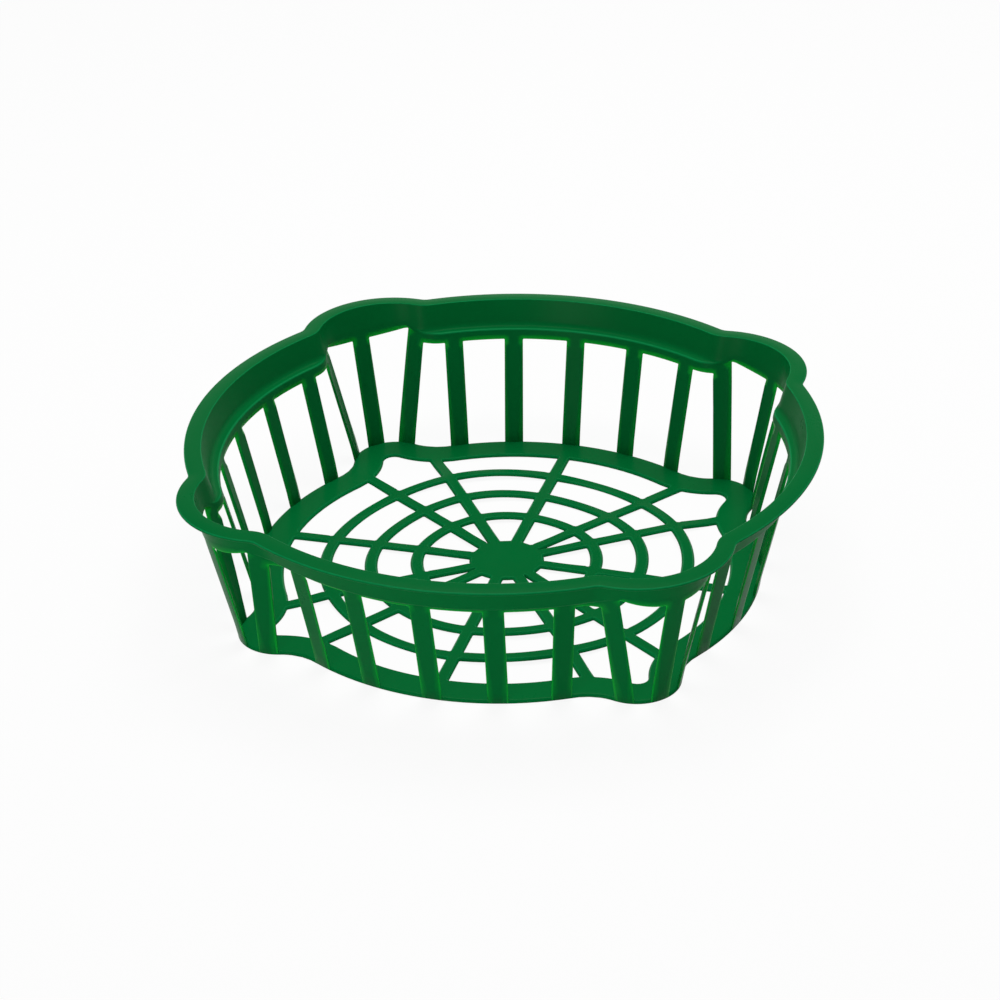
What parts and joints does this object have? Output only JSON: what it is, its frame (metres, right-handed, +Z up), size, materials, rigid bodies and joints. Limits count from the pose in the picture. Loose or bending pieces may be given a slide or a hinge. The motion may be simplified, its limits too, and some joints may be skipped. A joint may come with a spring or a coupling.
{
  "type": "bulb planting basket",
  "caption": "Low open plastic basket with a lobed rim, leaning slatted sides and a spoked web floor, for planting flower bulbs.",
  "frame": {"origin": "under the middle of the hub disc, on the plane that the basket rests on", "axes": "+Z up; -Y is the middle of the front arc and +X the middle of the right arc, with the lobes between them"},
  "size_m": [0.2586, 0.2586, 0.0639],
  "materials": {
    "green_plastic": "satin injection-moulded polypropylene"
  },
  "bodies": {
    "root": {"rim_lip": "green_plastic", "rim_wall": "green_plastic", "ledge_front": "green_plastic", "ledge_right": "green_plastic", "ledge_back": "green_plastic", "ledge_left": "green_plastic", "lobe_band_front_right": "green_plastic", "lobe_band_back_right": "green_plastic", "lobe_band_back_left": "green_plastic", "lobe_band_front_left": "green_plastic", "slat_front_middle": "green_plastic", "slat_front_inner_left": "green_plastic", "slat_front_inner_right": "green_plastic", "slat_front_outer_left": "green_plastic", "slat_front_outer_right": "green_plastic", "slat_front_cusp_left": "green_plastic", "slat_front_cusp_right": "green_plastic", "slat_right_middle": "green_plastic", "slat_right_inner_left": "green_plastic", "slat_right_inner_right": "green_plastic", "slat_right_outer_left": "green_plastic", "slat_right_outer_right": "green_plastic", "slat_right_cusp_left": "green_plastic", "slat_right_cusp_right": "green_plastic", "slat_back_middle": "green_plastic", "slat_back_inner_left": "green_plastic", "slat_back_inner_right": "green_plastic", "slat_back_outer_left": "green_plastic", "slat_back_outer_right": "green_plastic", "slat_back_cusp_left": "green_plastic", "slat_back_cusp_right": "green_plastic", "slat_left_middle": "green_plastic", "slat_left_inner_left": "green_plastic", "slat_left_inner_right": "green_plastic", "slat_left_outer_left": "green_plastic", "slat_left_outer_right": "green_plastic", "slat_left_cusp_left": "green_plastic", "slat_left_cusp_right": "green_plastic", "slat_lobe_front_right": "green_plastic", "slat_lobe_back_right": "green_plastic", "slat_lobe_back_left": "green_plastic", "slat_lobe_front_left": "green_plastic", "floor_border": "green_plastic", "hub_disc": "green_plastic", "ring_inner": "green_plastic", "ring_middle": "green_plastic", "ring_outer": "green_plastic", "spoke_1": "green_plastic", "spoke_2": "green_plastic", "spoke_3": "green_plastic", "spoke_4": "green_plastic", "spoke_5": "green_plastic", "spoke_6": "green_plastic", "spoke_7": "green_plastic", "spoke_8": "green_plastic", "spoke_9": "green_plastic", "spoke_10": "green_plastic", "spoke_11": "green_plastic", "spoke_12": "green_plastic"}
  },
  "joints": []
}
